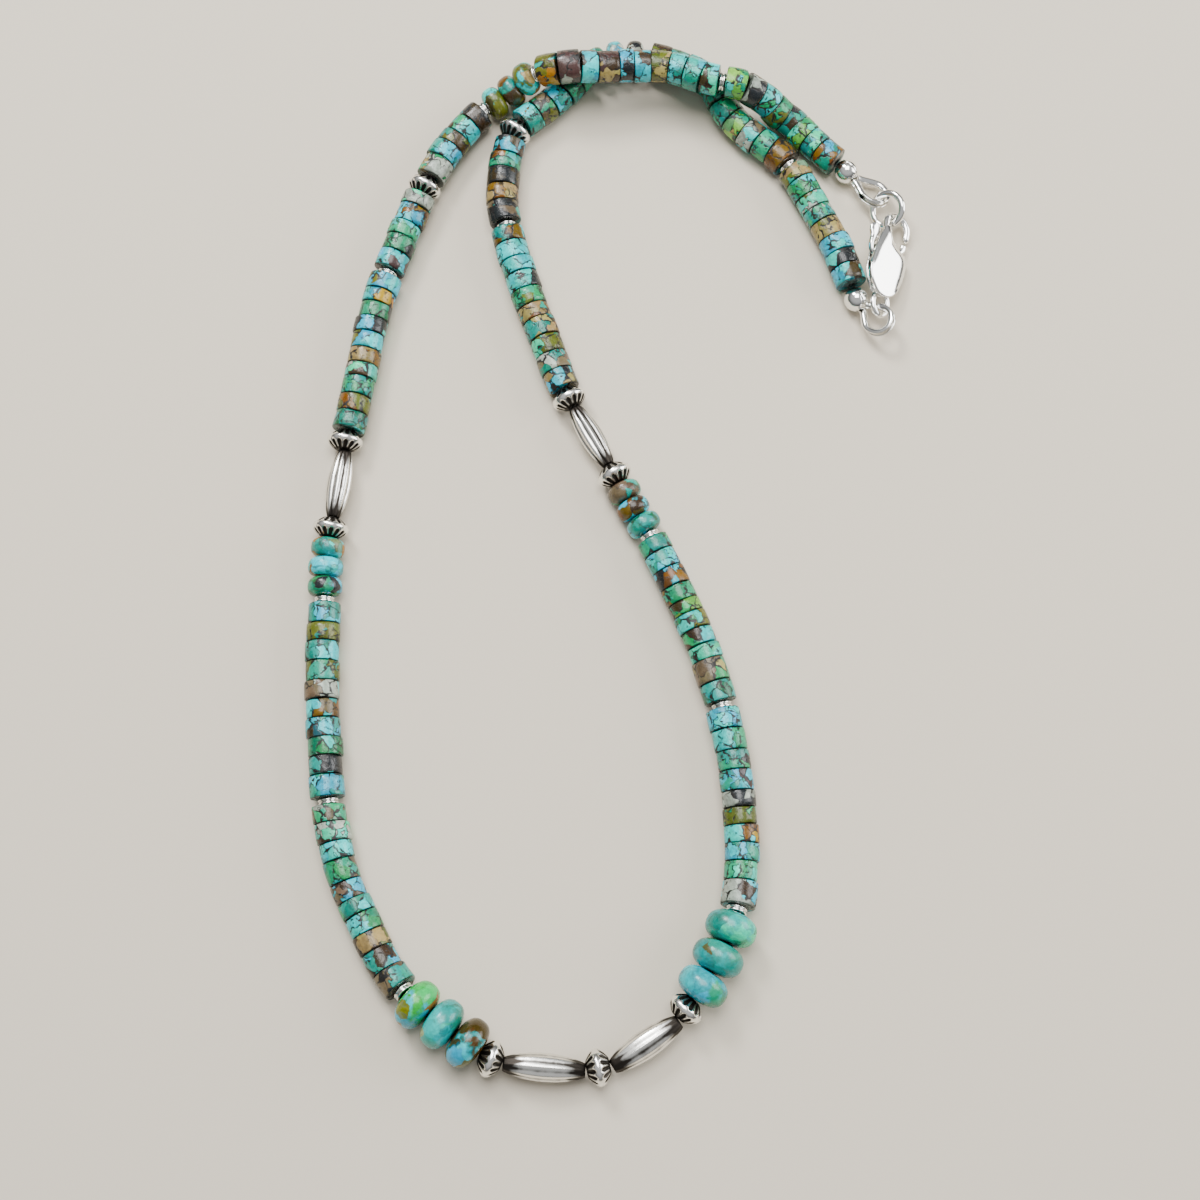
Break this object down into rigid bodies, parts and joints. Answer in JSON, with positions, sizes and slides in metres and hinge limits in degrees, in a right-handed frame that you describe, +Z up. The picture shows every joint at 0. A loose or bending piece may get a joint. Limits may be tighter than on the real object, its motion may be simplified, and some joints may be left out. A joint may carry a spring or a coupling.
{
  "type": "beaded necklace",
  "caption": "Short strung necklace in a closed loop: turquoise heishi discs and rondelles with fluted and long silver beads, joined by a lobster clasp.",
  "frame": {"origin": "middle of the loop's footprint, on the surface it lies on", "axes": "+Z up from the surface; +Y from the front bead towards the crossed upper strand; +X towards the clasp"},
  "size_m": [0.074, 0.1314, 0.0085],
  "materials": {
    "turquoise": "polished",
    "oxidised_silver": "satin silver, blackened in its grooves",
    "polished_silver": "polished silver"
  },
  "bodies": {
    "necklace": {"centre_fluted_bead": "oxidised_silver", "clasp_body": "polished_silver", "jump_ring": "polished_silver", "left_crimp_cover": "polished_silver", "left_fluted_bead_1": "oxidised_silver", "left_fluted_bead_2": "oxidised_silver", "left_fluted_bead_3": "oxidised_silver", "left_fluted_bead_4": "oxidised_silver", "left_heishi_run_1": "turquoise", "left_heishi_run_2": "turquoise", "left_heishi_run_3": "turquoise", "left_heishi_run_4": "turquoise", "left_heishi_run_5": "turquoise", "left_heishi_run_6": "turquoise", "left_heishi_run_7": "turquoise", "left_large_rondelle_1": "turquoise", "left_large_rondelle_2": "turquoise", "left_large_rondelle_3": "turquoise", "left_long_silver_bead_1": "oxidised_silver", "left_long_silver_bead_2": "oxidised_silver", "left_small_rondelles_1": "turquoise", "left_small_rondelles_2": "turquoise", "left_spacer_1": "polished_silver", "left_spacer_2": "polished_silver", "left_spacer_3": "polished_silver", "left_spacer_4": "polished_silver", "left_spacer_5": "polished_silver", "left_spacer_6": "polished_silver", "left_spacer_7": "polished_silver", "left_wire_guardian": "polished_silver", "right_crimp_cover": "polished_silver", "right_fluted_bead_1": "oxidised_silver", "right_fluted_bead_2": "oxidised_silver", "right_fluted_bead_3": "oxidised_silver", "right_fluted_bead_4": "oxidised_silver", "right_heishi_run_1": "turquoise", "right_heishi_run_2": "turquoise", "right_heishi_run_3": "turquoise", "right_heishi_run_4": "turquoise", "right_heishi_run_5": "turquoise", "right_heishi_run_6": "turquoise", "right_heishi_run_7": "turquoise", "right_large_rondelle_1": "turquoise", "right_large_rondelle_2": "turquoise", "right_large_rondelle_3": "turquoise", "right_long_silver_bead_1": "oxidised_silver", "right_long_silver_bead_2": "oxidised_silver", "right_small_rondelles_1": "turquoise", "right_small_rondelles_2": "turquoise", "right_spacer_1": "polished_silver", "right_spacer_2": "polished_silver", "right_spacer_3": "polished_silver", "right_spacer_4": "polished_silver", "right_spacer_5": "polished_silver", "right_spacer_6": "polished_silver", "right_spacer_7": "polished_silver", "right_wire_guardian": "polished_silver"},
    "lever": {"clasp_lever": "polished_silver"}
  },
  "joints": [
    {"name": "clasp_lever", "type": "hinge", "parent": "necklace", "child": "lever", "pos_m": [0.0343, 0.03485, 0.0018], "axis": [0.5451, -0.0515, 0.8368], "range_deg": [0, 25], "stiffness_Nm_per_rad": 0.01}
  ]
}
